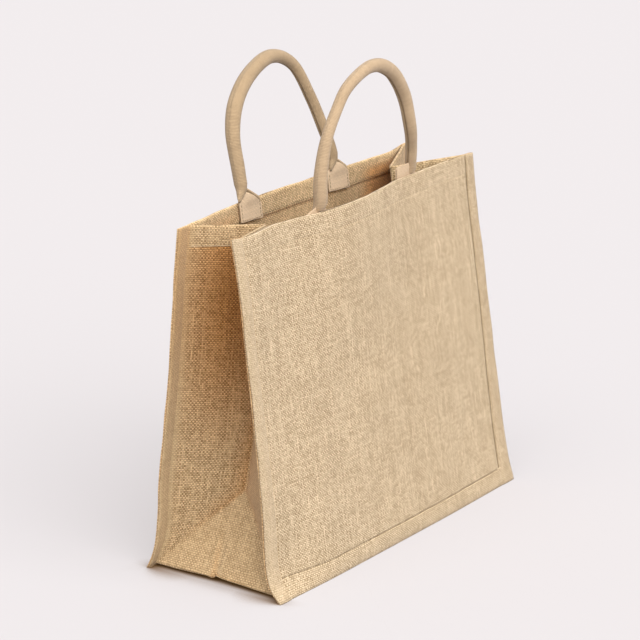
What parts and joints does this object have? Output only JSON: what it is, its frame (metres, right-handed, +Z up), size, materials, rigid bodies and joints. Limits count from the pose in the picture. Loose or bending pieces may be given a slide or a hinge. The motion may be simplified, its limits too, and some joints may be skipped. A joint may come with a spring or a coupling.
{
  "type": "burlap shopping bag",
  "caption": "Open-mouthed jute shopping bag with flanged seams, folded-in side gussets, a flat base and two padded webbing handles, standing upright.",
  "frame": {"origin": "on the floor, under the middle of the bag", "axes": "+Z up out of the mouth, +X along the bag's width, +Y from the front panel to the back panel"},
  "size_m": [0.43, 0.1736, 0.5003],
  "materials": {
    "front_jute": "plain-woven natural jute, laminated inside",
    "back_jute": "plain-woven natural jute, laminated inside",
    "gusset_jute": "plain-woven natural jute, laminated inside",
    "front_webbing": "fine ribbed cotton webbing",
    "back_webbing": "fine ribbed cotton webbing"
  },
  "bodies": {
    "root": {"front_panel": "front_jute", "back_panel": "back_jute", "gusset": "gusset_jute", "front_handle": "front_webbing", "back_handle": "back_webbing"}
  },
  "joints": []
}
